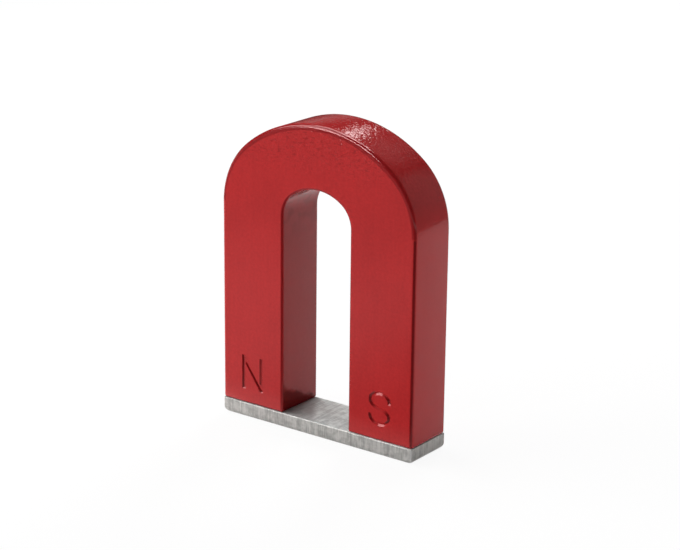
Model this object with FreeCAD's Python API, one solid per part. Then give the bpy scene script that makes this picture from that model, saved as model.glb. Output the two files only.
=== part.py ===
"""Horseshoe magnet standing on its steel keeper.

The magnet is one casting of flat section. Its two legs point down and end in flat pole faces.
The keeper is a short flat bar, blanked from strip, that bridges the pole faces and is held there
by the magnet alone.

Millimetres. +Z is up, X runs from the N leg at -X to the S leg at +X, and the front is -Y.
The origin is the centre of the keeper's underside, on which the pair stands.
"""
import FreeCAD, Part
import math
import os
from FreeCAD import Vector

# Size over all
width = 44.5                    # across both legs, and the keeper's length
thickness = 11.0                # front to back, of the magnet and of the keeper
magnet_height = 57.4            # pole faces to the top of the crown
keeper_thickness = 3.1

# Slot between the legs
slot_width = 15.6
crown_wall = 12.2               # metal above the slot, at the middle

# Outer crown: a shoulder arc at each side and a flatter arc between them
shoulder_centre_offset = 6.7    # shoulder centres from the middle, on the spring line
crown_centre_drop = 8.3         # crown centre below the spring line

# Slot's crown, made of three arcs in the same way
slot_shoulder_centre_offset = 2.35
slot_crown_centre_drop = 3.45

# Edges
outer_edge_radius = 0.7         # front and back of the outer crown and legs, under the paint
slot_edge_radius = 0.45         # round the slot and the pole faces
keeper_top_edge_radius = 0.2
keeper_corner_radius = 0.35     # upright edges
keeper_roll_radius = 1.1        # lower edges, rolled over by the blanking die

touch = 0.001                   # nearer than this counts as touching


def within_wall(radius, wall):
    """A rounding's radius, kept under half of the wall that it rounds."""
    return min(radius, 0.45 * wall)


def on_circle(centre, radius, degrees):
    """The point of an upright circle at an angle counted from +X towards +Z."""
    turn = math.radians(degrees)
    return centre + Vector(radius * math.cos(turn), 0, radius * math.sin(turn))


def arc(centre, radius, start, end):
    """The arc of an upright circle from one angle to another, in degrees."""
    points = [on_circle(centre, radius, angle) for angle in (start, (start + end) / 2, end)]
    return Part.Arc(*points).toShape()


def line(start, end):
    """The straight edge between two points."""
    return Part.LineSegment(start, end).toShape()


def arch(half_width, centre_offset, centre_drop, foot_z, top_z):
    """The edges of an arch in the XZ plane, from its left foot over the crown to its right foot.

    Both shoulder arcs run into the crown arc with no kink, because each join lies in line
    with the centres of its two arcs.
    """
    shoulder_radius = half_width - centre_offset
    crown_radius = shoulder_radius + math.hypot(centre_offset, centre_drop)
    join = math.degrees(math.atan2(centre_drop, centre_offset))
    spring_z = top_z + centre_drop - crown_radius
    left_centre = Vector(-centre_offset, 0, spring_z)
    right_centre = Vector(centre_offset, 0, spring_z)
    crown_centre = Vector(0, 0, spring_z - centre_drop)
    return [
        line(Vector(-half_width, 0, foot_z), Vector(-half_width, 0, spring_z)),
        arc(left_centre, shoulder_radius, 180, 180 - join),
        arc(crown_centre, crown_radius, 180 - join, join),
        arc(right_centre, shoulder_radius, join, 0),
        line(Vector(half_width, 0, spring_z), Vector(half_width, 0, foot_z)),
    ]


def magnet():
    """The casting: an arch with an arched slot, pole faces on the keeper, every edge rounded.

    The outer edges go first. The slot's smaller rounding then runs on round the pole faces and
    their rounded corners.
    """
    pole_z = keeper_thickness
    top_z = pole_z + magnet_height
    outside = arch(width / 2, shoulder_centre_offset, crown_centre_drop, pole_z, top_z)
    slot_top_z = top_z - crown_wall
    slot = arch(slot_width / 2, slot_shoulder_centre_offset, slot_crown_centre_drop, pole_z, slot_top_z)
    left_pole, right_pole = [
        line(Vector(side * width / 2, 0, pole_z), Vector(side * slot_width / 2, 0, pole_z))
        for side in (-1, 1)]
    outline = Part.Wire(outside + [right_pole] + slot[::-1] + [left_pole])
    section = Part.Face(outline)
    section.translate(Vector(0, -thickness / 2, 0))
    casting = section.extrude(Vector(0, thickness, 0))
    wall = min((width - slot_width) / 2, crown_wall, thickness)
    casting = casting.makeFillet(within_wall(outer_edge_radius, wall), [
        edge for edge in casting.Edges
        if is_in_front_or_back(edge) and not is_round_slot(edge, slot_top_z) and not is_at_pole(edge, pole_z)])
    return casting.makeFillet(within_wall(slot_edge_radius, wall), [
        edge for edge in casting.Edges
        if is_at_pole(edge, pole_z) or is_in_front_or_back(edge) and is_round_slot(edge, slot_top_z)])


def is_in_front_or_back(edge):
    """True for an edge in the front or back face, and not for one that runs between them."""
    return edge.BoundBox.YLength < touch


def is_at_pole(edge, pole_z):
    """True for an edge of a pole face."""
    return edge.BoundBox.ZMax < pole_z + touch


def is_round_slot(edge, slot_top_z):
    """True for an edge of the slot's own outline."""
    box = edge.BoundBox
    return abs(box.Center.x) < slot_width / 2 + touch and box.ZMax < slot_top_z + touch


def keeper():
    """The flat bar: crisp above and at its corners, rolled over all round its underside."""
    bar = Part.makeBox(width, thickness, keeper_thickness, Vector(-width / 2, -thickness / 2, 0))
    roll = within_wall(keeper_roll_radius, keeper_thickness)
    bar = bar.makeFillet(roll, [edge for edge in bar.Edges if edge.BoundBox.ZMax < touch])
    bar = bar.makeFillet(keeper_corner_radius, [edge for edge in bar.Edges if is_upright(edge)])
    return bar.makeFillet(keeper_top_edge_radius,
                          [edge for edge in bar.Edges if edge.BoundBox.ZMin > keeper_thickness - touch])


def is_upright(edge):
    """True for an edge that runs straight up."""
    return edge.BoundBox.XLength < touch and edge.BoundBox.YLength < touch


os.makedirs("parts", exist_ok=True)
for name, build in (("magnet", magnet), ("keeper", keeper)):
    build().exportStep("parts/" + name + ".step")
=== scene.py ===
"""The looks of a horseshoe magnet standing on its steel keeper.

The magnet is one casting in glossy red paint, with a pole letter sunk into the foot of each leg.
The keeper is a bare steel bar, blanked from strip.

Metres. +Z is up, X runs from the N leg at -X to the S leg at +X, and the front is -Y.
"""
import math

import bmesh
import bpy
from mathutils import Matrix, Vector

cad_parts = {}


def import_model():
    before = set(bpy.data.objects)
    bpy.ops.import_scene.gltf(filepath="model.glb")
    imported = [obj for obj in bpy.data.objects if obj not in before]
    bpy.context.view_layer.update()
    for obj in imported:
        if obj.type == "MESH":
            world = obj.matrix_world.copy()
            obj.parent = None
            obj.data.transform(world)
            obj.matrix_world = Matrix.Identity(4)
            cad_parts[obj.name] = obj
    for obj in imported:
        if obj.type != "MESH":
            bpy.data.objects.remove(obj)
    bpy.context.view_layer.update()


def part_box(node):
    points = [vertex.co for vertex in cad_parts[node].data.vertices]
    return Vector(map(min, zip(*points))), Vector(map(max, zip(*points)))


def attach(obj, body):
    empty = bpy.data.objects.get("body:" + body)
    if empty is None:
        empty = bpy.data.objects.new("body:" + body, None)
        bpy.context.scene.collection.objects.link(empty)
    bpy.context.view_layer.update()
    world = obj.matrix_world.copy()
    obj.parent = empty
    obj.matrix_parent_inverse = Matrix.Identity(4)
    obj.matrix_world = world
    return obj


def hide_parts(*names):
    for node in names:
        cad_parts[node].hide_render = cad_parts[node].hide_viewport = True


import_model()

bl_info = {
    "name": "Horseshoe Magnet",
    "version": (1, 0, 0),
    "blender": (4, 5, 0),
    "location": "View3D > Sidebar > Magnet",
    "description": "Builds a painted horseshoe magnet, its steel keeper and a small studio round them",
    "category": "Object",
}

MM = 0.001
BODY = "root"

magnet_low, magnet_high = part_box("magnet")
keeper_low, keeper_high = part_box("keeper")

TO_FRONT = Vector((0, -1, 0))
TOUCH = 0.001 * MM              # nearer than this counts as touching

# The casting
HEIGHT_STEP = 0.1 * MM          # its height is a whole number of these
SHOULDER_STEPS = 22             # facets along each shoulder arc, outside and in the slot
CROWN_STEPS = 36                # facets along the crown arc
EDGE_STEPS = 7                  # facets across a rounded edge
REAL_EDGE = math.radians(40)    # faces that meet at more than this have a real edge between them
FLAT = 0.999                    # how near to 1 the part of a normal along Y is on its front and back
ROUNDED_EDGE_SHADE = "rounded_edge_shade"       # mesh attribute of painted shade, 1 on its rounded edges
SHADE_BAND_WIDTH = 0.28 * MM        # width of each of two bands beside the outer rounded edges, where the painted shade fades
BAND_SHADE = 0.5           # the painted shade between those two bands

# The letters. Shares are of the stroke's width.
WINDOW_MARGIN = 2 * MM          # from a leg's rounded edge to the cleared place of its letter
CRISP_EDGE = math.radians(35)   # faces that meet at more than this are shaded apart
BOWL_STEPS = 8                  # facets along each arc of the S
STROKE_END_SHARE = 0.22         # rounding of the corners at a stroke's end
STROKE_END_STEPS = 6            # facets round each of them
LEDGE_SHARE = 0.04              # level rim round the groove
GROOVE_SHARE = 0.44             # width of the groove's slanted side
GROOVE_STEPS = 4                # facets down that side

# The enamel: sizes of its lumps
CLOUD_SIZE = 9 * MM             # broad changes of colour
BLOTCH_SIZE = 2.6 * MM          # slow waves, and blotches in the slot
MARK_SIZE = 0.9 * MM            # small dark marks on the crown's faces
STREAK_SIZE = 0.7 * MM          # streaks up the faces
GRAIN_SIZE = 0.55 * MM

# The enamel: where its looks start, and where they are full
FACE_ZONE = (0.6 * MM, 0.1 * MM)        # in from the plane of the front or back
CROWN_ZONE = (12 * MM, 4 * MM)          # down from the crown's top
BESIDE_SLOT = (0.05 * MM, 0.2 * MM)     # out from the slot's sides
ABOVE_SLOT = (0, 0.1 * MM)              # up from the slot's top
BLOTCH_ZONE = (14 * MM, 5 * MM)         # down from the slot's top
GROOVE_ZONE = (0, 0.05 * MM)            # in from the front

# The enamel: factors on its red, green and blue
CLOUD_SHADES = (0.91, 1.09)     # where it is darkest and lightest
MARK_TINT = (0.55, 0.55, 0.55)
EDGE_SHADE_TINT = (0.5, 0.2, 0.3)     # painted shade over a rounded edge
GROOVE_SHADE_TINT = (0.2, 0.05, 0.1)  # painted shade down one side of a groove
# painted shade in the slot
SLOT_SHADE_TINT = (0.56, 0.2, 0.2)
SIDE_LIGHT_TINT = (1.14, 1.14, 1.14)  # painted light on the legs' outer sides
FOOT_SHADE_TINT = (0.12, 0.02, 0.02)  # painted shade and dark reflection at the slot's foot

# The enamel: its surface, and the edge of the painted shade at the slot's foot
GLOSS_IOR = 1.6
DULL_ROUGHNESS = 0.6
EDGE_BOW = 5.5                  # how much the outer strip bows across, per metre, in the shading
FOOT_SHADE_RISE = 0.427               # slope of the edge, up towards the front
FOOT_SHADE_DROP = 1.4 * MM            # of the edge below the pole face at the back, before its waves
FOOT_SHADE_WAVES = 2.4 * MM
FOOT_SHADE_GRAIN = 1.2 * MM
FOOT_SHADE_BLUR = 0.5 * MM            # half the width of the edge

# The keeper
BLANKING_WIDTH = 0.25 * MM      # of the fine marks up its sides and across its top
BLANKING_STRETCH = 0.04         # a small number draws the marks out
MOTTLE_SIZE = 1.2 * MM
MARK_DEPTH = 0.02 * MM          # of the marks and the mottle
STEEL_SHADES = (0.66, 1.16)     # darkest and lightest of the mottle, as factors
CORNER_HIGHLIGHT = 0.8             # grey of the painted highlight on the upright edges
POLE_SHADOW = 0.2                       # grey of the painted shadow of the N leg on the top
POLE_SHADOW_SLANT = 0.6                 # how much farther it reaches in for each step towards the front
POLE_SHADOW_EDGE = (-1.5 * MM, 0.5 * MM)        # across its slanting edge
LIT_TOP_CHANGE = (-4 * MM, 4 * MM)          # in depth, where the top's colour with its painted light goes from front to back
LIT_TOP_FRONT = ((0.44, 0.48, 0.47, 1), (0.78, 0.83, 0.81, 1))      # the top, painted lighter as painted light: its darkest and lightest in front,
LIT_TOP_BACK = ((0.64, 0.68, 0.66, 1), (0.94, 1.0, 0.97, 1))        # and at the back

# The studio. Two places in a row say where a glow starts and where it is full.
LAMP_DISTANCE = 0.6             # from the magnet to each soft box
LAMP_AIM = 30 * MM              # height above the floor that the soft boxes and cards face
FLOOR_RADIUS = 1.5
FLOOR_SIDES = 64
FLOOR_GLOW = 0.92               # share of plain white in the floor as it is seen
FLOOR_IN_GLOSS = 0.2            # how much of that white the gloss reflects
WALL_RADIUS = 0.85              # of the dark walls, and of the sheet on the floor
WALL_SIDES = 48
WALL_FOOT = math.radians(5.3)   # height angle at which the dark walls start
WALL_GLOW = 0.03
BACK_LEFT_GLOW = 0.65           # more glow of the walls, low down at the back left:
LEFT_WALL = (-0.3, -0.55)       # from here along X,
BACK_WALL = (0.1, 0.4)          # from here along Y,
LOW_WALL = (0.3, 0)             # and from this height down
SHEET_SLANT = math.radians(16)  # turn of the sheet's straight edge
SHEET_LIFT = 0.3 * MM           # of the sheet above the floor
SHEET_GLOW = 0.05
SHEET_LEFT_GLOW = 0.45          # more glow of the sheet to the left,
SHEET_LEFT = (10 * MM, -40 * MM)        # from here along X,
SHEET_FAR_FALL = 0.25           # which falls by this much
SHEET_FAR = (-60 * MM, -140 * MM)       # from here along Y,
SHEET_NEAR_GLOW = 0.45          # and more glow right before the keeper,
SHEET_NEAR = (16 * MM, 6 * MM)  # from here to the magnet's front
SENSOR_WIDTH = 36               # in millimetres
CLIP = (0.01, 10)               # nearest and farthest that the camera sees


class CastingSizes(bpy.types.PropertyGroup):
    """The magnet's own sizes. Its width, thickness and height come from the frame."""

    slot_width: bpy.props.FloatProperty(
        name="Slot width", description="Gap between the two legs",
        default=15.6 * MM, min=0, unit="LENGTH")
    crown_wall: bpy.props.FloatProperty(
        name="Crown wall", description="Metal above the slot, at the middle",
        default=12.2 * MM, min=0, unit="LENGTH")
    shoulder_offset: bpy.props.FloatProperty(
        name="Shoulder offset", description="Centre of each outer shoulder arc from the middle",
        default=6.7 * MM, min=0, unit="LENGTH")
    crown_drop: bpy.props.FloatProperty(
        name="Crown drop", description="Centre of the outer crown arc below the shoulder centres",
        default=8.3 * MM, min=0, unit="LENGTH")
    slot_shoulder_offset: bpy.props.FloatProperty(
        name="Slot shoulder offset",
        description="Centre of each shoulder arc of the slot from the middle",
        default=2.35 * MM, min=0, unit="LENGTH")
    slot_crown_drop: bpy.props.FloatProperty(
        name="Slot crown drop", description="Centre of the slot's crown arc below its shoulder centres",
        default=3.45 * MM, min=0, unit="LENGTH")
    outer_edge_radius: bpy.props.FloatProperty(
        name="Outer edge radius",
        description="Rounding in front and behind of the outer crown and legs",
        default=0.7 * MM, min=0, unit="LENGTH")
    slot_edge_radius: bpy.props.FloatProperty(
        name="Slot edge radius", description="Rounding round the slot and the pole faces",
        default=0.45 * MM, min=0, unit="LENGTH")


class LetterSizes(bpy.types.PropertyGroup):
    """The pole letters N and S, measured along the middle of their strokes."""

    height: bpy.props.FloatProperty(
        name="Letter height", description="From the lowest to the highest stroke",
        default=6.1 * MM, min=0, unit="LENGTH")
    width: bpy.props.FloatProperty(
        name="Letter width", description="From the left to the right stroke",
        default=4.25 * MM, min=0, unit="LENGTH")
    centre_height: bpy.props.FloatProperty(
        name="Letter centre", description="Middle of the letters above the pole faces",
        default=6.3 * MM, min=0, unit="LENGTH")
    stroke: bpy.props.FloatProperty(
        name="Stroke width", description="Width of the groove at the face",
        default=0.88 * MM, min=0, unit="LENGTH")
    depth: bpy.props.FloatProperty(
        name="Stroke depth", description="Depth of the groove at its middle",
        default=0.32 * MM, min=0, unit="LENGTH")
    bowl_height: bpy.props.FloatProperty(
        name="Bowl height", description="Height of each bowl of the S",
        default=3.0 * MM, min=0, unit="LENGTH")
    bowl_side_radius: bpy.props.FloatProperty(
        name="Bowl side radius", description="Radius at the sides of the bowls of the S",
        default=1.15 * MM, min=0, unit="LENGTH")


class KeeperSizes(bpy.types.PropertyGroup):
    """The keeper's edges. Its length, depth and thickness come from the frame."""

    roll_radius: bpy.props.FloatProperty(
        name="Roll radius", description="Rolled-over edge all round the underside",
        default=1.1 * MM, min=0, unit="LENGTH")
    corner_radius: bpy.props.FloatProperty(
        name="Corner radius", description="Rounding of the upright edges",
        default=0.35 * MM, min=0, unit="LENGTH")
    top_radius: bpy.props.FloatProperty(
        name="Top edge radius", description="Rounding of the crisp edges above",
        default=0.2 * MM, min=0, unit="LENGTH")


class FinishChoices(bpy.types.PropertyGroup):
    """Colours and surface of the paint and the steel."""

    paint: bpy.props.FloatVectorProperty(
        name="Paint", description="Colour of the enamel", subtype="COLOR", size=3,
        default=(0.43, 0.020, 0.021), min=0, max=1)
    paint_roughness: bpy.props.FloatProperty(
        name="Paint roughness", description="Dullness of the enamel's gloss",
        default=0.10, min=0, max=1, subtype="FACTOR")
    gloss_tint: bpy.props.FloatVectorProperty(
        name="Gloss tint", description="Colour of the enamel's gloss where it is seen head-on",
        subtype="COLOR", size=3, default=(1, 0.62, 0.62), min=0, max=1)
    peel_height: bpy.props.FloatProperty(
        name="Orange peel", description="Height of the fine unevenness in the enamel",
        default=0.06 * MM, min=0, unit="LENGTH")
    steel: bpy.props.FloatVectorProperty(
        name="Steel", description="Colour of the bare steel", subtype="COLOR", size=3,
        default=(0.48, 0.47, 0.45), min=0, max=1)
    steel_roughness: bpy.props.FloatProperty(
        name="Steel roughness", description="Dullness of the blanked steel",
        default=0.38, min=0, max=1, subtype="FACTOR")


class StudioChoices(bpy.types.PropertyGroup):
    """The camera's place and the level of the light."""

    azimuth: bpy.props.FloatProperty(
        name="Azimuth", description="Camera's turn from the front towards the S leg",
        default=math.radians(36.5538), subtype="ANGLE")
    elevation: bpy.props.FloatProperty(
        name="Elevation", description="Camera's height angle",
        default=math.radians(17.5452), subtype="ANGLE")
    roll: bpy.props.FloatProperty(
        name="Roll", description="Camera's turn about its own line of sight",
        default=math.radians(0.5898), subtype="ANGLE")
    distance: bpy.props.FloatProperty(
        name="Distance", description="Camera from the point that it looks at",
        default=380.91 * MM, min=0, unit="LENGTH")
    target: bpy.props.FloatVectorProperty(
        name="Target", description="Point that the camera looks at", subtype="TRANSLATION", size=3,
        default=(1.576 * MM, 0, 31.194 * MM))
    lens: bpy.props.FloatProperty(
        name="Lens", description="Focal length in millimetres on a 36 mm sensor",
        default=108.31, min=1)
    room_light: bpy.props.FloatProperty(
        name="Room light", description="Level of the even light from all round",
        default=0.22, min=0)
    floor: bpy.props.FloatVectorProperty(
        name="Floor", description="Colour of the floor", subtype="COLOR", size=3,
        default=(0.92, 0.92, 0.92), min=0, max=1)


def run(bm, tip, step):
    """Draws a vertex or an edge along a straight step, and returns its new end."""
    return bmesh.ops.spin(bm, geom=tip, axis=TO_FRONT, dvec=step, angle=0, steps=1)["geom_last"]


def turn(bm, tip, centre, angle, steps):
    """Draws a vertex or an edge along an arc, anticlockwise as seen from the front."""
    return bmesh.ops.spin(
        bm, geom=tip, cent=centre, axis=TO_FRONT, angle=angle, steps=steps)["geom_last"]


def arch(bm, half_width, centre_offset, centre_drop, foot_z, top_z, y):
    """Draws an arch as a chain of edges, from its right foot over the crown to its left foot.

    The shoulder arcs run into the crown arc with no kink, because each join lies in line with
    the centres of its two arcs.
    """
    shoulder_radius = half_width - centre_offset
    crown_radius = shoulder_radius + math.hypot(centre_offset, centre_drop)
    join = math.atan2(centre_drop, centre_offset)
    spring_z = top_z + centre_drop - crown_radius
    rise = Vector((0, 0, spring_z - foot_z))
    tip = bmesh.ops.create_vert(bm, co=(half_width, y, foot_z))["vert"]
    tip = run(bm, tip, rise)
    tip = turn(bm, tip, (centre_offset, y, spring_z), join, SHOULDER_STEPS)
    tip = turn(bm, tip, (0, y, spring_z - centre_drop), math.pi - 2 * join, CROWN_STEPS)
    tip = turn(bm, tip, (-centre_offset, y, spring_z), join, SHOULDER_STEPS)
    run(bm, tip, -rise)


def crown_top():
    """Height of the crown's true top, which the frame's facets fall just short of."""
    height = round((magnet_high.z - magnet_low.z) / HEIGHT_STEP) * HEIGHT_STEP
    return keeper_high.z + height


def slot_top(sizes):
    """Height of the slot's top."""
    return crown_top() - sizes.crown_wall


def casting(sizes):
    """The plain casting: an arch with an arched slot, drawn back to its thickness, edges rounded."""
    bm = bmesh.new()
    front_y = magnet_low.y
    thickness = magnet_high.y - magnet_low.y
    arch(bm, magnet_high.x, sizes.shoulder_offset, sizes.crown_drop,
         keeper_high.z, crown_top(), front_y)
    arch(bm, sizes.slot_width / 2, sizes.slot_shoulder_offset, sizes.slot_crown_drop,
         keeper_high.z, slot_top(sizes), front_y)
    bmesh.ops.bridge_loops(bm, edges=bm.edges[:])
    back = bmesh.ops.extrude_face_region(bm, geom=bm.faces[:])["geom"]
    back_vertices = [item for item in back if isinstance(item, bmesh.types.BMVert)]
    bmesh.ops.translate(bm, verts=back_vertices, vec=(0, thickness, 0))
    bmesh.ops.recalc_face_normals(bm, faces=bm.faces[:])
    outer = [edge for edge in real_edges(bm) if is_outer(edge, sizes)]
    outer_rounding = round_edges(bm, outer, sizes.outer_edge_radius)
    slot_rounding = round_edges(bm, real_edges(bm), sizes.slot_edge_radius)
    flats = [face for face in bm.faces if abs(face.normal.y) > FLAT]
    margin = bmesh.ops.inset_region(bm, faces=flats, thickness=SHADE_BAND_WIDTH)["faces"]
    bmesh.ops.inset_region(bm, faces=flats, thickness=SHADE_BAND_WIDTH)
    mark_edge_shade(bm, outer_rounding, slot_rounding, margin)
    return bm


def real_edges(bm):
    """The edges at which two flats or a flat and a curved side meet."""
    return [edge for edge in bm.edges if edge.calc_face_angle() > REAL_EDGE]


def is_outer(edge, sizes):
    """True for an edge of the outer outline, which lies outside the slot and above the pole faces."""
    middle = (edge.verts[0].co + edge.verts[1].co) / 2
    above_slot = middle.z > slot_top(sizes) + TOUCH
    beside_slot = abs(middle.x) > sizes.slot_width / 2 + TOUCH
    return (above_slot or beside_slot) and middle.z > keeper_high.z + TOUCH


def mark_edge_shade(bm, outer_rounding, slot_rounding, margin):
    """Notes on each vertex its painted shade: 1 on a rounded edge, less beside the outer ones."""
    shaded_edges = bm.verts.layers.float.new(ROUNDED_EDGE_SHADE)
    rim = {vert for face in outer_rounding if face.is_valid for vert in face.verts}
    outer_margin = {face for face in margin if not rim.isdisjoint(face.verts)}
    for face in outer_margin:
        for vert in face.verts:
            vert[shaded_edges] = BAND_SHADE
    thinned = outer_margin.union(outer_rounding, slot_rounding)
    for vert in bm.verts:
        if thinned.issuperset(vert.link_faces):
            vert[shaded_edges] = 1


def round_edges(bm, edges, radius, steps=EDGE_STEPS):
    """Rounds edges, and leaves the flats beside them flat in the shading."""
    return bmesh.ops.bevel(
        bm, geom=edges, offset=radius, offset_type="OFFSET", segments=steps, profile=0.5,
        affect="EDGES", material=-1, clamp_overlap=True, face_strength_mode="ALL")["faces"]


def letter_n(bm, middle, sizes):
    """Lays the flat outline of an N on the face. Its second half is its first, turned half round."""
    half_stroke = sizes.stroke / 2
    top = sizes.height / 2 + half_stroke
    left = -sizes.width / 2 - half_stroke
    inner = -sizes.width / 2 + half_stroke
    slope = sizes.height / sizes.width
    down = half_stroke * math.hypot(1, slope)   # from the diagonal's middle to its side, along Z
    across = down / slope                       # and along X
    half = [(inner, -top), (left, -top), (left, top),
            (across - top / slope, top), (-inner, slope * inner + down)]
    corners = [bmesh.ops.create_vert(bm, co=middle + side * Vector((x, 0, z)))["vert"][0]
               for side in (1, -1) for x, z in half]
    bm.faces.new(corners)


def letter_s(bm, middle, sizes):
    """Lays the flat ribbon of an S on the face.

    Each of its two bowls is an oval of four arcs that run into each other with no kink: rounder
    ones at the sides, and flatter ones above and below. A short run that leans joins the bowls.
    """
    side_radius = sizes.bowl_side_radius
    spread = sizes.width / 2 - side_radius          # side arcs' centres from the middle
    swell = sizes.bowl_height / 2 - side_radius
    drop = (spread ** 2 - swell ** 2) / (2 * swell)     # flat arcs' centres beyond the bowl's middle
    flat_radius = sizes.bowl_height / 2 + drop
    rise = (sizes.height - sizes.bowl_height) / 2   # the bowls' middles from the letter's middle
    join = math.atan2(drop, spread)
    lean = math.acos(flat_radius / (rise + drop))
    flat_turn = math.pi - 2 * join
    last_turn = math.pi / 2 - join - lean
    lean_run = 2 * math.sqrt((rise + drop) ** 2 - flat_radius ** 2)
    cap = Vector((0, 0, sizes.stroke / 2))

    start = middle + Vector((sizes.width / 2, 0, rise)) - cap
    pair = [bmesh.ops.create_vert(bm, co=start + Vector((side * sizes.stroke / 2, 0, 0)))["vert"][0]
            for side in (-1, 1)]
    tip = run(bm, pair + [bm.edges.new(pair)], cap)
    upper = middle + Vector((0, 0, rise))
    tip = turn(bm, tip, upper + Vector((spread, 0, 0)), join, BOWL_STEPS)
    tip = turn(bm, tip, upper - Vector((0, 0, drop)), flat_turn, BOWL_STEPS)
    tip = turn(bm, tip, upper - Vector((spread, 0, 0)), 2 * join, 2 * BOWL_STEPS)
    tip = turn(bm, tip, upper + Vector((0, 0, drop)), last_turn, BOWL_STEPS)
    tip = run(bm, tip, Vector((math.cos(lean), 0, -math.sin(lean))) * lean_run)
    lower = middle - Vector((0, 0, rise))
    tip = turn(bm, tip, lower - Vector((0, 0, drop)), -last_turn, BOWL_STEPS)
    tip = turn(bm, tip, lower + Vector((spread, 0, 0)), -2 * join, 2 * BOWL_STEPS)
    tip = turn(bm, tip, lower + Vector((0, 0, drop)), -flat_turn, BOWL_STEPS)
    tip = turn(bm, tip, lower - Vector((spread, 0, 0)), -join, BOWL_STEPS)
    run(bm, tip, cap)


def face_at(bm, point):
    """The face that a point lies on."""
    for face in bm.faces:
        height = abs((point - face.verts[0].co).dot(face.normal))
        if height < TOUCH and bmesh.geometry.intersect_face_point(face, point):
            return face
    raise RuntimeError("no face lies at %s" % point)


def leg_window(bm, middle, half_height):
    """Clears a window in a leg's front face, round the place of its letter, and returns its edges."""
    face = face_at(bm, middle)
    bmesh.ops.inset_region(bm, faces=[face], thickness=WINDOW_MARGIN)
    for side in (-1, 1):
        around = [face] + face.edges[:] + face.verts[:]
        bmesh.ops.bisect_plane(bm, geom=around, plane_co=middle + Vector((0, 0, side * half_height)),
                               plane_no=(0, 0, 1))
        face = face_at(bm, middle)
    edges = face.edges[:]
    bmesh.ops.delete(bm, geom=[face], context="FACES_ONLY")
    return edges


def is_stroke_corner(vert):
    """True where a flat letter's outline turns sharply at a stroke's end, not between two strokes."""
    before, after = [edge.other_vert(vert).co - vert.co for edge in vert.link_edges if edge.is_boundary]
    is_sharp = math.pi - before.angle(after) > REAL_EDGE
    return is_sharp and all(loop.is_convex for loop in vert.link_loops)


def sink_letter(bm, centre_x, draw, sizes):
    """Sinks a letter into the front face of a leg, as a groove with slanted sides and rounded ends."""
    middle = Vector((centre_x, magnet_low.y, magnet_low.z + sizes.centre_height))
    window = leg_window(bm, middle, sizes.height / 2 + sizes.stroke)
    others = set(bm.faces)
    draw(bm, middle, sizes)
    outline = {vert for face in bm.faces if face not in others for vert in face.verts}
    bmesh.ops.bevel(
        bm, geom=[vert for vert in outline if is_stroke_corner(vert)],
        offset=STROKE_END_SHARE * sizes.stroke, offset_type="OFFSET", segments=STROKE_END_STEPS,
        profile=0.5, affect="VERTICES", material=-1, clamp_overlap=True)
    letter = [face for face in bm.faces if face not in others]
    rim = [edge for face in letter for edge in face.edges if edge.is_boundary]
    bmesh.ops.triangle_fill(bm, edges=window + rim, normal=TO_FRONT, use_beauty=True)
    bmesh.ops.recalc_face_normals(bm, faces=bm.faces[:])
    bmesh.ops.inset_region(bm, faces=letter, thickness=LEDGE_SHARE * sizes.stroke)
    step_in = GROOVE_SHARE * sizes.stroke / GROOVE_STEPS
    step_down = sizes.depth / GROOVE_STEPS
    for step in range(GROOVE_STEPS):
        bmesh.ops.inset_region(bm, faces=letter, thickness=step_in, depth=-step_down)
    for edge in bm.edges:
        if not others.issuperset(edge.link_faces) and edge.calc_face_angle() > CRISP_EDGE:
            edge.smooth = False


def keeper_bar(sizes):
    """The bar: rolled over all round its underside, with rounded upright edges, and crisp above."""
    bm = bmesh.new()
    size = keeper_high - keeper_low
    bmesh.ops.create_cube(bm, size=1)
    bmesh.ops.scale(bm, verts=bm.verts[:], vec=size)
    bmesh.ops.translate(bm, verts=bm.verts[:], vec=(keeper_low + keeper_high) / 2)
    lower = [edge for edge in bm.edges if all(vert.co.z < keeper_low.z + TOUCH for vert in edge.verts)]
    round_edges(bm, lower, sizes.roll_radius, 2 * EDGE_STEPS)
    upright = [edge for edge in bm.edges if is_at_corner(edge)]
    round_edges(bm, upright, sizes.corner_radius)
    upper = [edge for edge in real_edges(bm)
             if all(vert.co.z > keeper_high.z - TOUCH for vert in edge.verts)]
    round_edges(bm, upper, sizes.top_radius)
    return bm


def is_at_corner(edge):
    """True for the keeper's upright edges, and for the mitres that carry them on round the roll."""
    start, end = [vert.co for vert in edge.verts]
    middle = (start + end) / 2
    from_end = keeper_high.x - abs(middle.x)
    from_side = keeper_high.y - abs(middle.y)
    return abs(start.z - end.z) > TOUCH and abs(from_end - from_side) < TOUCH


def add_piece(name, bm, material):
    """Makes an object of a finished bmesh and its material."""
    mesh = bpy.data.meshes.new(name)
    bm.to_mesh(mesh)
    bm.free()
    mesh.materials.append(material)
    piece = bpy.data.objects.new(name, mesh)
    bpy.context.scene.collection.objects.link(piece)
    return piece


def finish_piece(name, bm, material, node):
    """Makes a piece of the magnet, shades it evenly, and puts it in the place of its CAD node."""
    piece = add_piece(name, bm, material)
    piece.data.shade_smooth()
    shading = piece.modifiers.new("Even shading", "WEIGHTED_NORMAL")
    shading.use_face_influence = True
    shading.keep_sharp = True
    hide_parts(node)
    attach(piece, BODY)


class Value:
    """A number in a shader. Python's operators on it add Math nodes."""

    def __init__(self, finish, socket):
        self.finish = finish
        self.socket = socket

    def math(self, operation, *values):
        return self.finish.node("ShaderNodeMath", {"operation": operation}, dict(enumerate(values)))

    def __add__(self, other):
        return self.math("ADD", self, other)

    def __sub__(self, other):
        return self.math("SUBTRACT", self, other)

    def __rsub__(self, other):
        return self.math("SUBTRACT", other, self)

    def __mul__(self, other):
        return self.math("MULTIPLY", self, other)

    def __abs__(self):
        return self.math("ABSOLUTE", self)

    __radd__ = __add__
    __rmul__ = __mul__

    def ramp(self, start, full):
        """0 before the first number, 1 past the second, and smooth between them. It may run down."""
        return self.finish.node(
            "ShaderNodeMapRange", {"interpolation_type": "SMOOTHSTEP"},
            {"Value": self, "From Min": start, "From Max": full})


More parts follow.
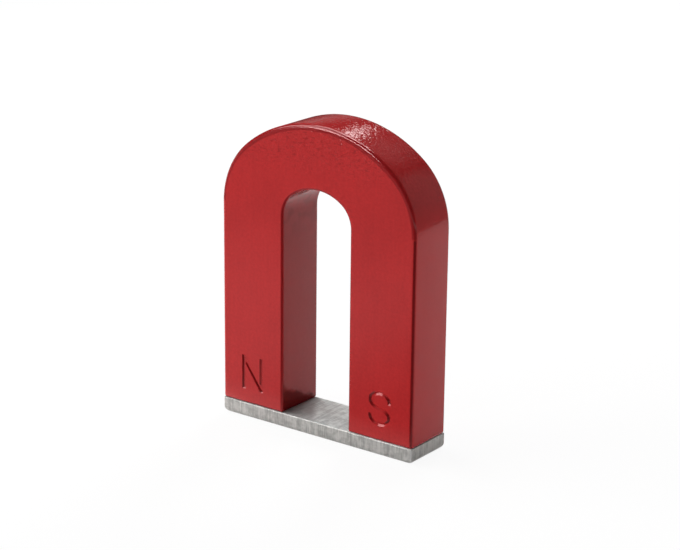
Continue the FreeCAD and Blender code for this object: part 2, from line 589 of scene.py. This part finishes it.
class Finish:
    """The nodes of one material, or of the world, added by expressions."""

    def __init__(self, name, owner=None):
        self.material = owner or bpy.data.materials.new(name)
        self.material.use_nodes = True
        self.tree = self.material.node_tree
        self.tree.nodes.clear()

    def node(self, kind, settings=None, inputs=None, output=0):
        """Adds a node, sets it, then feeds its sockets, and returns one of its outputs."""
        made = self.tree.nodes.new(kind)
        for name, value in (settings or {}).items():
            setattr(made, name, value)
        for key, value in (inputs or {}).items():
            self.feed(find_socket(made.inputs, key), value)
        return Value(self, find_socket(made.outputs, output))

    def feed(self, socket, value):
        """Links a value to a socket, or sets a plain number or colour on it."""
        if isinstance(value, Value):
            self.tree.links.new(value.socket, socket)
        else:
            socket.default_value = value

    def parts(self, vector, axes="XYZ"):
        """The parts of a place or a direction along some of the axes."""
        return [self.node("ShaderNodeSeparateXYZ", None, {"Vector": vector}, axis) for axis in axes]

    def noise(self, place, size, detail=2.0, stretch=(1, 1, 1)):
        """Soft noise with lumps of about one size, in metres, and the place stretched first."""
        moved = self.node("ShaderNodeMapping", None, {"Vector": place, "Scale": stretch})
        return self.node("ShaderNodeTexNoise", None,
                         {"Vector": moved, "Scale": 1 / size, "Detail": detail, "Roughness": 0.55})

    def mix(self, share, first, second):
        """A colour between two colours."""
        return self.node("ShaderNodeMix", {"data_type": "RGBA"},
                         {"Factor_Float": share, "A_Color": first, "B_Color": second}, "Result_Color")

    def bump(self, height):
        """A normal for a surface that is raised by some height, in metres."""
        return self.node("ShaderNodeBump", None, {"Strength": 1.0, "Distance": 1.0, "Height": height})

    def close(self, shader, kind="ShaderNodeOutputMaterial"):
        """Adds the closing node, and returns the finished material."""
        self.node(kind, None, {"Surface": shader}, None)
        return self.material


def find_socket(sockets, key):
    """A socket by its number, identifier or name."""
    if key is None:
        return None
    if isinstance(key, int):
        return sockets[key]
    return next(socket for socket in sockets if key in (socket.identifier, socket.name))


def grey(level):
    """An even grey, ready for a colour socket."""
    return (level, level, level, 1)


def tint(colour, factors):
    """A colour with a factor on each of its three parts, ready for a colour socket."""
    return tuple(min(1.0, part * factor) for part, factor in zip(colour, factors)) + (1,)


def shade(colour, factor):
    """A colour made lighter or darker, ready for a colour socket."""
    return tint(colour, (factor, factor, factor))


def casting_zones(across, depth, height, to_right, sizes):
    """Four zones of the casting: its two faces, its crown, inside its slot, and its legs' outer sides.

    Each is 1 inside, 0 outside, and smooth between them.
    """
    faces = (magnet_high.y - abs(depth)).ramp(*FACE_ZONE)
    crown = (magnet_high.z - height).ramp(*CROWN_ZONE)
    beside_slot = (abs(across) - sizes.slot_width / 2).ramp(*BESIDE_SLOT)
    above_slot = (height - slot_top(sizes)).ramp(*ABOVE_SLOT)
    in_slot = (1 - beside_slot) * (1 - above_slot) * (1 - faces)
    leg_sides = beside_slot * abs(to_right).ramp(0.9, 1.0)
    return faces, crown, in_slot, leg_sides


def enamel(choices, sizes):
    """Glossy red enamel, with the unevenness of paint over a casting.

    It has painted shade over the rounded edges and down one side of each groove, and small dark
    marks on the crown's faces. In the slot it has painted shade, deepest at the foot, and the
    legs' outer sides have painted light. In the slot and on the legs' outer sides it is duller.
    """
    finish = Finish("red_enamel")
    place = finish.node("ShaderNodeTexCoord", output="Object")
    facing = finish.node("ShaderNodeNewGeometry", output="Normal")
    across, depth, height = finish.parts(place)
    to_right, to_back = finish.parts(facing, "XY")
    faces, crown, in_slot, leg_sides = casting_zones(across, depth, height, to_right, sizes)
    rounding = finish.node("ShaderNodeAttribute", {"attribute_name": ROUNDED_EDGE_SHADE}, output="Fac")

    cloud = finish.noise(place, CLOUD_SIZE, 1.5).ramp(0.3, 0.7)
    streaks = finish.noise(place, STREAK_SIZE, 1.0, (1, 1, 0.04)).ramp(0.35, 0.65)
    grain = finish.noise(place, GRAIN_SIZE, 1.5)
    broad = finish.noise(place, BLOTCH_SIZE, 1.0)
    tone = cloud * 0.4 + streaks * 0.2 + grain * 2 - 0.8
    colour = finish.mix(tone, *[shade(choices.paint, factor) for factor in CLOUD_SHADES])

    marks = finish.noise(place, MARK_SIZE, 2.0, (1, 1, 1.8)).ramp(0.54, 0.66) * crown * faces
    # painted shade over the rounded edges, more where an edge turns towards the front or back
    shaded_edges = rounding.ramp(0.5 - 0.5 * crown, 1 - 0.5 * crown) * abs(to_back).ramp(0.0, 0.75)
    sunk = (depth - magnet_low.y).ramp(*GROOVE_ZONE)
    # painted shade down the sides of the grooves that face right
    groove_shade = sunk * to_right.ramp(0.15, 0.45) * to_back.ramp(-0.4, -0.7) * (1 - rounding)
    # patches of deeper painted shade near the slot's top
    shade_blotches = broad.ramp(0.42, 0.6) * (slot_top(sizes) - height).ramp(*BLOTCH_ZONE)
    # painted shade and dark reflection at the slot's foot, below a slanting, wavy edge
    foot_shade_waves = broad * FOOT_SHADE_WAVES + grain * FOOT_SHADE_GRAIN
    foot_shade_top = (magnet_high.y - depth) * FOOT_SHADE_RISE + (magnet_low.z - FOOT_SHADE_DROP) + foot_shade_waves
    foot_shade = (foot_shade_top - height).ramp(-FOOT_SHADE_BLUR, FOOT_SHADE_BLUR)
    layers = (
        (marks * 0.5, MARK_TINT),
        (shaded_edges * 0.75, EDGE_SHADE_TINT),
        (groove_shade * 0.75, GROOVE_SHADE_TINT),
        # painted shade in the slot, deeper in patches
        (in_slot * (0.62 + 0.38 * shade_blotches), SLOT_SHADE_TINT),
        # painted light on the legs' outer sides
        (leg_sides * 0.8, SIDE_LIGHT_TINT),
        (in_slot * foot_shade * 0.6, FOOT_SHADE_TINT))
    for share, factors in layers:
        colour = finish.mix(share, colour, tint(choices.paint, factors))

    coarseness = (0.35 + crown * (1.15 + 0.3 * faces)) * (1 - 0.7 * rounding)
    peel = (grain * coarseness + broad * 0.3) * choices.peel_height
    normal = finish.bump(peel - depth * depth * EDGE_BOW)
    glossy = finish.node("ShaderNodeBsdfPrincipled", None, {
        "Base Color": colour, "Roughness": choices.paint_roughness, "IOR": GLOSS_IOR,
        "Specular Tint": shade(choices.gloss_tint, 1), "Normal": normal})
    dull = finish.node("ShaderNodeBsdfPrincipled", None, {
        "Base Color": colour, "Roughness": DULL_ROUGHNESS, "Specular IOR Level": 0.0, "Normal": normal})
    dullness = in_slot * (0.2 + 0.5 * foot_shade) + leg_sides * 0.3
    return finish.close(finish.node("ShaderNodeMixShader", None, {0: dullness, 1: glossy, 2: dull}))


def steel(choices, slot_side):
    """Bare steel: fine marks of blanking on a mottled ground.

    The upright edges carry a painted highlight, and the ends and the top are painted lighter as
    painted light, the top most of all at the back. A painted shadow of the N leg slants in on the
    top beside the N pole.
    """
    finish = Finish("blanked_steel")
    place = finish.node("ShaderNodeTexCoord", output="Object")
    facing = finish.node("ShaderNodeNewGeometry", output="Normal")
    across, depth = finish.parts(place, "XY")
    to_right, up = finish.parts(facing, "XZ")
    to_side = abs(to_right)
    ends = to_side.ramp(0.55, 0.85)
    upright_edges = to_side.ramp(0.2, 0.5) * (1 - to_side.ramp(0.8, 0.98)) * (1 - up.ramp(0.2, 0.5))
    top = up.ramp(0.6, 0.9)

    side_marks = finish.noise(place, BLANKING_WIDTH, 2.0, (1, BLANKING_STRETCH, 0.06))
    end_marks = finish.noise(place, BLANKING_WIDTH, 2.0, (BLANKING_STRETCH, 1, 0.06))
    marks = end_marks * ends + side_marks * (1 - ends)
    mottle = finish.noise(place, MOTTLE_SIZE, 3.0)
    # the ends painted a little lighter, as painted light
    tone = (marks * 0.5 + mottle * 0.5).ramp(0.36, 0.64) + 0.2 * ends
    colour = finish.mix(tone, *[shade(choices.steel, factor) for factor in STEEL_SHADES])
    # painted highlight on the upright edges
    colour = finish.mix(upright_edges * 0.6, colour, grey(CORNER_HIGHLIGHT))
    # the top painted lighter as painted light, most of all at the back
    at_back = depth.ramp(*LIT_TOP_CHANGE)
    lit_top_colour = finish.mix(at_back, finish.mix(tone, *LIT_TOP_FRONT), finish.mix(tone, *LIT_TOP_BACK))
    # painted shadow of the N leg on the top, with a slanting edge
    pole_shadow = ((keeper_high.y - depth) * POLE_SHADOW_SLANT - (across + slot_side)).ramp(*POLE_SHADOW_EDGE)
    lit_top_colour = finish.mix(pole_shadow * 0.6, lit_top_colour, grey(POLE_SHADOW))
    colour = finish.mix(top, colour, lit_top_colour)

    normal = finish.bump(marks * MARK_DEPTH + mottle * MARK_DEPTH)
    return finish.close(finish.node("ShaderNodeBsdfPrincipled", None, {
        "Base Color": colour, "Metallic": 0.35 - 0.15 * top,
        "Roughness": choices.steel_roughness + mottle * 0.1, "Normal": normal}))


def direction(azimuth, elevation):
    """The way to a place round the object. Azimuth runs from the front towards the S leg."""
    level = math.cos(elevation)
    return Vector((math.sin(azimuth) * level, -math.cos(azimuth) * level, math.sin(elevation)))


def soft_box(name, azimuth, elevation, width, height, level, in_gloss=True):
    """A large even lamp that faces the magnet. Its level is its brightness, and 1 is white."""
    lamp = bpy.data.lights.new(name, "AREA")
    lamp.shape = "RECTANGLE"
    lamp.size = width
    lamp.size_y = height
    lamp.energy = level * math.pi * width * height
    box = bpy.data.objects.new(name, lamp)
    away = direction(math.radians(azimuth), math.radians(elevation))
    box.location = away * LAMP_DISTANCE + Vector((0, 0, LAMP_AIM))
    box.rotation_euler = away.to_track_quat("Z", "Y").to_euler()
    box.visible_camera = False
    box.visible_glossy = in_gloss
    bpy.context.scene.collection.objects.link(box)


def reflected_piece(name, bm, material):
    """Makes a card or wall that is seen in gloss and nowhere else, so that it throws no shadow."""
    piece = add_piece(name, bm, material)
    piece.visible_camera = False
    piece.visible_diffuse = False
    piece.visible_transmission = False
    piece.visible_volume_scatter = False
    piece.visible_shadow = False


def backdrop_share(finish, in_gloss=1.0):
    """1 for a ray that looks straight or through glass at the backdrop, and a share of it by gloss."""
    camera, glossy, through = [
        finish.node("ShaderNodeLightPath", output=name)
        for name in ("Is Camera Ray", "Is Glossy Ray", "Is Transmission Ray")]
    return camera.math("MINIMUM", camera + glossy * in_gloss + through, 1)


def floor(choices):
    """A wide pale floor, which keeps the object's shadow."""
    finish = Finish("pale_floor")
    matt = finish.node("ShaderNodeBsdfDiffuse", None, {"Color": shade(choices.floor, 1)})
    white = glow(finish, 1.0)
    share = backdrop_share(finish, FLOOR_IN_GLOSS) * FLOOR_GLOW
    shader = finish.node("ShaderNodeMixShader", None, {0: share, 1: matt, 2: white})
    bm = bmesh.new()
    bmesh.ops.create_circle(bm, cap_ends=True, radius=FLOOR_RADIUS, segments=FLOOR_SIDES)
    add_piece("floor", bm, finish.close(shader))


def glow(finish, level):
    """An even glow, where a level of 1 is white."""
    return finish.node("ShaderNodeEmission", None, {"Color": grey(1), "Strength": level})


def dark_walls():
    """Dark walls round and above the magnet, as a studio has, which the gloss reflects."""
    bm = bmesh.new()
    bmesh.ops.create_uvsphere(bm, u_segments=WALL_SIDES, v_segments=WALL_SIDES // 2, radius=WALL_RADIUS)
    cut_away(bm, (0, 0, WALL_RADIUS * math.sin(WALL_FOOT)), (0, 0, -1))
    finish = Finish("dark_wall")
    across, away, up = finish.parts(finish.node("ShaderNodeTexCoord", output="Object"))
    back_left = across.ramp(*LEFT_WALL) * away.ramp(*BACK_WALL)
    shader = glow(finish, WALL_GLOW + BACK_LEFT_GLOW * back_left * up.ramp(*LOW_WALL))
    reflected_piece("dark_walls", bm, finish.close(shader))


def grey_sheet():
    """A sheet on the floor before the magnet: lighter to the left, and right before the keeper."""
    finish = Finish("grey_sheet")
    across, away = finish.parts(finish.node("ShaderNodeTexCoord", output="Object"), "XY")
    left_glow = across.ramp(*SHEET_LEFT) * (SHEET_LEFT_GLOW - SHEET_FAR_FALL * away.ramp(*SHEET_FAR))
    near_glow = SHEET_NEAR_GLOW * (magnet_low.y - away).ramp(*SHEET_NEAR)
    shader = glow(finish, SHEET_GLOW + left_glow + near_glow)
    bm = bmesh.new()
    bmesh.ops.create_circle(bm, cap_ends=True, radius=WALL_RADIUS, segments=WALL_SIDES)
    slant = Matrix.Rotation(SHEET_SLANT, 3, "Z")
    cut_away(bm, (0, magnet_low.y, 0), slant @ Vector((0, 1, 0)))
    bmesh.ops.translate(bm, verts=bm.verts[:], vec=(0, 0, SHEET_LIFT))
    reflected_piece("grey_sheet", bm, finish.close(shader))


def card(name, azimuth, elevation, distance, width, height, level, lean=0):
    """A flat card that faces the magnet, leans to one side, and is seen only in the gloss."""
    away = direction(math.radians(azimuth), math.radians(elevation))
    facing = away.to_track_quat("Z", "Y").to_matrix().to_4x4()
    leaning = Matrix.Rotation(math.radians(lean), 4, "Z")
    middle = away * distance + Vector((0, 0, LAMP_AIM))
    place = Matrix.Translation(middle) @ facing @ leaning @ Matrix.Diagonal((width, height, 1, 1))
    bm = bmesh.new()
    bmesh.ops.create_grid(bm, x_segments=1, y_segments=1, size=0.5, matrix=place)
    finish = Finish(name)
    reflected_piece(name, bm, finish.close(glow(finish, level)))


def cut_away(bm, point, normal):
    """Cuts a sheet along a plane and takes away what is in front of it."""
    everything = bm.faces[:] + bm.edges[:] + bm.verts[:]
    bmesh.ops.bisect_plane(bm, geom=everything, plane_co=point, plane_no=normal, clear_outer=True)


def world(choices):
    """Even light from all round, and a white background behind the object and in its gloss."""
    owner = bpy.data.worlds.new("Studio")
    bpy.context.scene.world = owner
    finish = Finish("Studio", owner)
    share = backdrop_share(finish)
    strength = share + (1 - share) * choices.room_light
    shader = finish.node("ShaderNodeBackground", None, {"Color": grey(1), "Strength": strength})
    finish.close(shader, "ShaderNodeOutputWorld")


def camera(choices):
    """The camera at the photograph's angle, which puts the horizontal a little out of level."""
    data = bpy.data.cameras.new("Camera")
    data.lens = choices.lens
    data.sensor_width = SENSOR_WIDTH
    data.clip_start, data.clip_end = CLIP
    eye = bpy.data.objects.new("Camera", data)
    back = direction(choices.azimuth, choices.elevation)
    level_right = Vector((math.cos(choices.azimuth), math.sin(choices.azimuth), 0))
    level_up = back.cross(level_right)
    right = level_right * math.cos(choices.roll) + level_up * math.sin(choices.roll)
    axes = Matrix((right, back.cross(right), back)).transposed().to_4x4()
    eye.matrix_world = Matrix.Translation(Vector(choices.target) + back * choices.distance) @ axes
    bpy.context.scene.collection.objects.link(eye)
    bpy.context.scene.camera = eye


class OBJECT_OT_horseshoe_magnet(bpy.types.Operator):
    """Builds the painted casting with its pole letters"""

    bl_idname = "object.horseshoe_magnet"
    bl_label = "Magnet"
    bl_options = {"REGISTER", "UNDO"}

    def execute(self, context):
        settings = context.scene.horseshoe
        bm = casting(settings.casting)
        leg_centre = (magnet_high.x + settings.casting.slot_width / 2) / 2
        sink_letter(bm, -leg_centre, letter_n, settings.letters)
        sink_letter(bm, leg_centre, letter_s, settings.letters)
        paint = enamel(settings.finishes, settings.casting)
        finish_piece("magnet_casting", bm, paint, "magnet")
        return {"FINISHED"}


class OBJECT_OT_magnet_keeper(bpy.types.Operator):
    """Builds the bare steel keeper bar"""

    bl_idname = "object.magnet_keeper"
    bl_label = "Keeper"
    bl_options = {"REGISTER", "UNDO"}

    def execute(self, context):
        settings = context.scene.horseshoe
        metal = steel(settings.finishes, settings.casting.slot_width / 2)
        finish_piece("keeper_bar", keeper_bar(settings.keeper), metal, "keeper")
        return {"FINISHED"}


class OBJECT_OT_magnet_studio(bpy.types.Operator):
    """Sets up the floor, the lights and the camera"""

    bl_idname = "object.magnet_studio"
    bl_label = "Studio"
    bl_options = {"REGISTER", "UNDO"}

    def execute(self, context):
        choices = context.scene.horseshoe.studio
        context.scene.view_settings.view_transform = "Standard"
        camera(choices)
        world(choices)
        floor(choices)
        dark_walls()
        grey_sheet()
        card("left_card", azimuth=-130, elevation=-9, distance=0.16, width=0.24, height=0.13, level=0.02)
        card("side_sheet", azimuth=138, elevation=17, distance=0.30, width=0.22, height=0.26, level=0.28)
        card("back_sheet", azimuth=-178, elevation=41, distance=0.5, width=0.16, height=0.09, level=0.3)
        card("front_strip", azimuth=-24, elevation=23, distance=0.5, width=0.40, height=0.045,
             level=26, lean=41)
        card("top_strip", azimuth=-110, elevation=81, distance=0.5, width=0.28, height=0.07,
             level=20, lean=-29)
        card("letter_glint", azimuth=-52, elevation=36, distance=0.5, width=0.32, height=0.22, level=4.6)
        soft_box("key_box", azimuth=-58, elevation=26, width=0.55, height=0.50, level=4.3,
                 in_gloss=False)
        soft_box("top_box", azimuth=-100, elevation=66, width=0.20, height=0.30, level=6.5)
        soft_box("back_fill", azimuth=-168, elevation=32, width=0.22, height=0.30, level=8.5,
                 in_gloss=False)
        soft_box("back_box", azimuth=-154.5, elevation=38, width=0.05, height=0.085, level=9)
        return {"FINISHED"}


class HorseshoeSettings(bpy.types.PropertyGroup):
    """Everything that a user would change."""

    casting: bpy.props.PointerProperty(
        type=CastingSizes, name="Casting", description="Sizes of the magnet")
    letters: bpy.props.PointerProperty(
        type=LetterSizes, name="Letters", description="Sizes of the letters")
    keeper: bpy.props.PointerProperty(
        type=KeeperSizes, name="Keeper", description="Edges of the keeper")
    finishes: bpy.props.PointerProperty(
        type=FinishChoices, name="Finishes", description="Paint and steel")
    studio: bpy.props.PointerProperty(
        type=StudioChoices, name="Studio", description="Camera and light")


class VIEW3D_PT_horseshoe_magnet(bpy.types.Panel):
    """Lists the pieces and the studio"""

    bl_label = "Horseshoe Magnet"
    bl_space_type = "VIEW_3D"
    bl_region_type = "UI"
    bl_category = "Magnet"

    def draw(self, context):
        settings = context.scene.horseshoe
        for operator in OPERATORS:
            self.layout.operator(operator.bl_idname)
        for group_name in settings.__annotations__:
            group = getattr(settings, group_name)
            box = self.layout.box()
            for name in group.__annotations__:
                box.prop(group, name)


OPERATORS = (OBJECT_OT_horseshoe_magnet, OBJECT_OT_magnet_keeper, OBJECT_OT_magnet_studio)
CLASSES = (CastingSizes, LetterSizes, KeeperSizes, FinishChoices, StudioChoices, HorseshoeSettings,
           *OPERATORS, VIEW3D_PT_horseshoe_magnet)


def register():
    for cls in CLASSES:
        bpy.utils.register_class(cls)
    bpy.types.Scene.horseshoe = bpy.props.PointerProperty(type=HorseshoeSettings)


def unregister():
    del bpy.types.Scene.horseshoe
    for cls in reversed(CLASSES):
        bpy.utils.unregister_class(cls)


def main():
    """Builds everything in order."""
    register()
    bpy.ops.object.horseshoe_magnet()
    bpy.ops.object.magnet_keeper()
    bpy.ops.object.magnet_studio()


if __name__ == "__main__":
    main()
